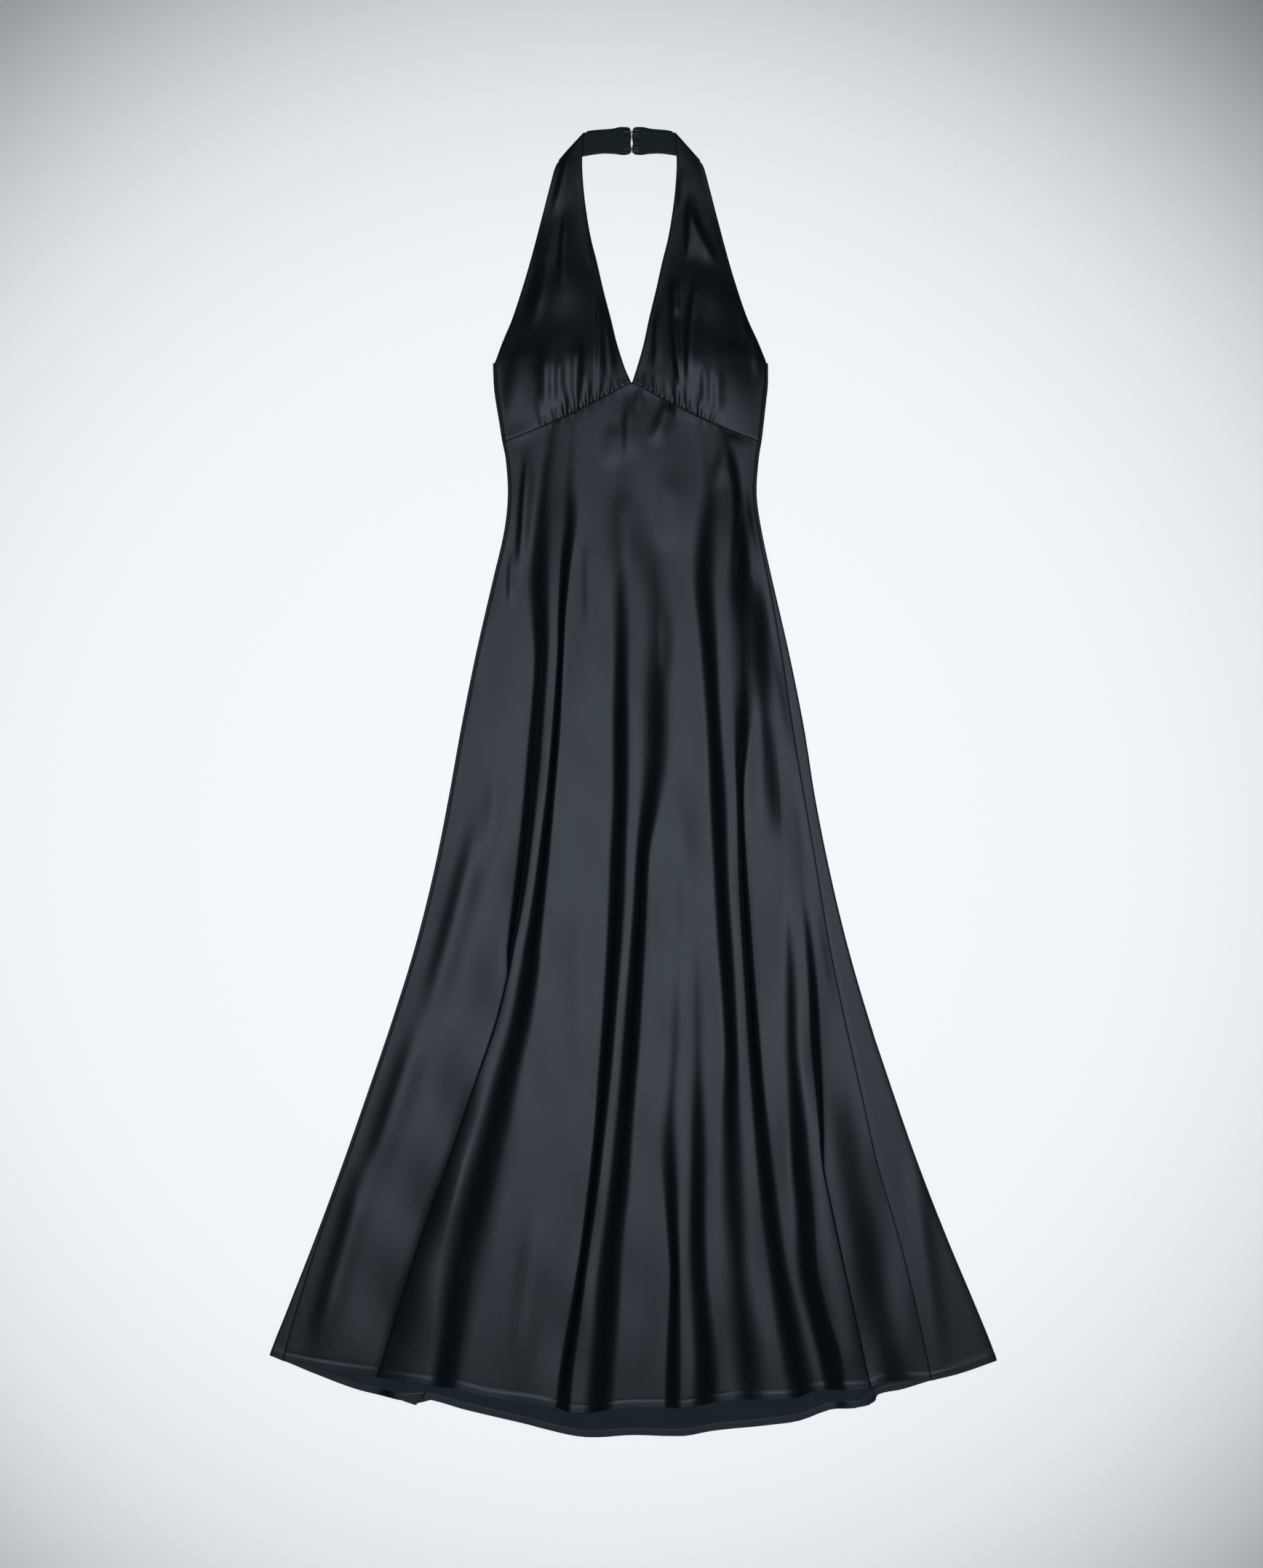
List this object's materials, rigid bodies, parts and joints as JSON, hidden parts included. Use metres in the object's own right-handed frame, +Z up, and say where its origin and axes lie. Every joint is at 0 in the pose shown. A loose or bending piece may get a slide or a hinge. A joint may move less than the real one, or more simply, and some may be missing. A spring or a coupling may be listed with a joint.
{
  "type": "halter-neck maxi slip dress",
  "caption": "Black satin halter-neck maxi slip dress laid flat, with gathered cups over a flared skirt in soft folds and a hook-fastened neck band.",
  "frame": {"origin": "under the middle of the laid dress, on the surface it lies on", "axes": "+Y from the hem to the neck, +X to the right as seen from above, +Z up off the surface, out of the dress's front"},
  "size_m": [0.849, 1.529, 0.0186],
  "materials": {
    "satin": "near-black satin, a soft sheen outside and a dull face inside",
    "band_satin": "near-black satin, duller inner face of the neck band",
    "wire": "fine grey hook-and-eye wire"
  },
  "bodies": {
    "root": {"cup_left": "satin", "cup_right": "satin", "neck_band_left": "band_satin", "neck_band_right": "band_satin", "skirt_front": "satin", "skirt_back": "satin", "hook_upper": "wire", "hook_lower": "wire", "eye_upper": "wire", "eye_lower": "wire"}
  },
  "joints": []
}
